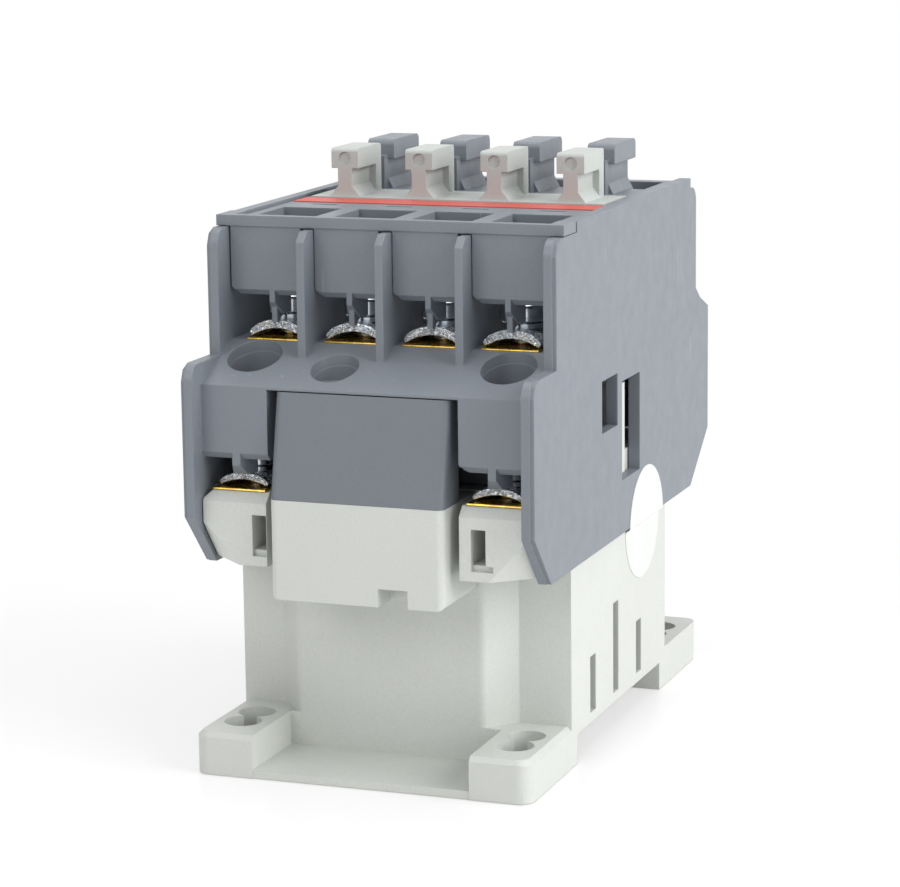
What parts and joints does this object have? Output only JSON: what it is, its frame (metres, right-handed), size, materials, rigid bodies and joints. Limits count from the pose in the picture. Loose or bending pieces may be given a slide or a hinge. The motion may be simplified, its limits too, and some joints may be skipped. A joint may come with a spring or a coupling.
{
  "type": "ac contactor",
  "caption": "Multi-pole electromagnetic contactor: grey and white moulded housing on a footed base with rail channel, sprung contact carrier with tee hooks, screw terminals and front coil block",
  "frame": {"origin": "centre of the footprint on the mounting face", "axes": "X along the row of poles, Y from the coil side to the far side, Z out of the mounting face towards the tee hooks"},
  "size_m": [0.0441, 0.0744, 0.0723],
  "materials": {
    "white_plastic": "moulded, satin",
    "grey_plastic": "moulded, satin",
    "carrier_plastic": "moulded, satin",
    "red_print": "printed matte",
    "white_label": "printed matte",
    "zinc": "bright zinc",
    "brass": "bare metal",
    "core_steel": "bare metal",
    "copper": "bare metal",
    "tip_silver": "bright zinc",
    "spring_steel": "bare metal",
    "bobbin_plastic": "moulded, satin",
    "damper_rubber": "soft matte"
  },
  "bodies": {
    "housing": {"base_housing": "white_plastic", "main_housing": "grey_plastic", "top_cover": "grey_plastic", "coil_block": "white_plastic", "coil_cap": "grey_plastic", "fixed_core": "core_steel", "shading_ring_left": "copper", "shading_ring_right": "copper", "coil_bobbin": "bobbin_plastic", "coil_winding": "copper", "coil_lead_left": "copper", "coil_lead_right": "copper", "damper_left": "damper_rubber", "damper_right": "damper_rubber", "near_tips": "tip_silver", "far_tips": "tip_silver", "near_clamps": "zinc", "far_clamps": "zinc", "near_screws": "zinc", "far_screws": "zinc", "coil_clamps": "zinc", "coil_screws": "zinc", "coil_terminal_left": "brass", "coil_terminal_right": "brass", "return_spring_1": "spring_steel", "return_spring_2": "spring_steel", "return_spring_3": "spring_steel", "return_spring_4": "spring_steel", "latch_spring": "spring_steel", "marker_strip": "red_print", "round_sticker": "white_label", "near_terminal_1": "brass", "near_terminal_2": "brass", "near_terminal_3": "brass", "near_terminal_4": "brass", "far_terminal_1": "brass", "far_terminal_2": "brass", "far_terminal_3": "brass", "far_terminal_4": "brass"},
    "carrier": {"contact_carrier": "carrier_plastic", "armature_core": "core_steel", "armature_pin": "spring_steel", "contact_spring_1": "spring_steel", "contact_spring_2": "spring_steel", "contact_spring_3": "spring_steel", "contact_spring_4": "spring_steel"},
    "latch": {"rail_latch": "white_plastic"},
    "moving_bridge_1": {"bridge_1": "copper", "bridge_tips_1": "tip_silver"},
    "moving_bridge_2": {"bridge_2": "copper", "bridge_tips_2": "tip_silver"},
    "moving_bridge_3": {"bridge_3": "copper", "bridge_tips_3": "tip_silver"},
    "moving_bridge_4": {"bridge_4": "copper", "bridge_tips_4": "tip_silver"}
  },
  "joints": [
    {"name": "carrier_press", "type": "slide", "parent": "housing", "child": "carrier", "axis": [0, 0, -1], "range_m": [0, 0.005], "stiffness_N_per_m": 700, "springref_m": -0.004, "deforming": ["return_spring_1", "return_spring_2", "return_spring_3", "return_spring_4"]},
    {"name": "latch_pull", "type": "slide", "parent": "housing", "child": "latch", "axis": [0, 1, 0], "range_m": [0, 0.0025], "stiffness_N_per_m": 900, "springref_m": -0.002, "deforming": ["latch_spring"]},
    {"name": "bridge_1_lift", "type": "slide", "parent": "carrier", "child": "moving_bridge_1", "axis": [0, 0, 1], "range_m": [0, 0.0015], "stiffness_N_per_m": 600, "springref_m": -0.0015, "deforming": ["contact_spring_1"]},
    {"name": "bridge_2_lift", "type": "slide", "parent": "carrier", "child": "moving_bridge_2", "axis": [0, 0, 1], "range_m": [0, 0.0015], "stiffness_N_per_m": 600, "springref_m": -0.0015, "deforming": ["contact_spring_2"]},
    {"name": "bridge_3_lift", "type": "slide", "parent": "carrier", "child": "moving_bridge_3", "axis": [0, 0, 1], "range_m": [0, 0.0015], "stiffness_N_per_m": 600, "springref_m": -0.0015, "deforming": ["contact_spring_3"]},
    {"name": "bridge_4_lift", "type": "slide", "parent": "carrier", "child": "moving_bridge_4", "axis": [0, 0, 1], "range_m": [0, 0.0015], "stiffness_N_per_m": 600, "springref_m": -0.0015, "deforming": ["contact_spring_4"]}
  ]
}
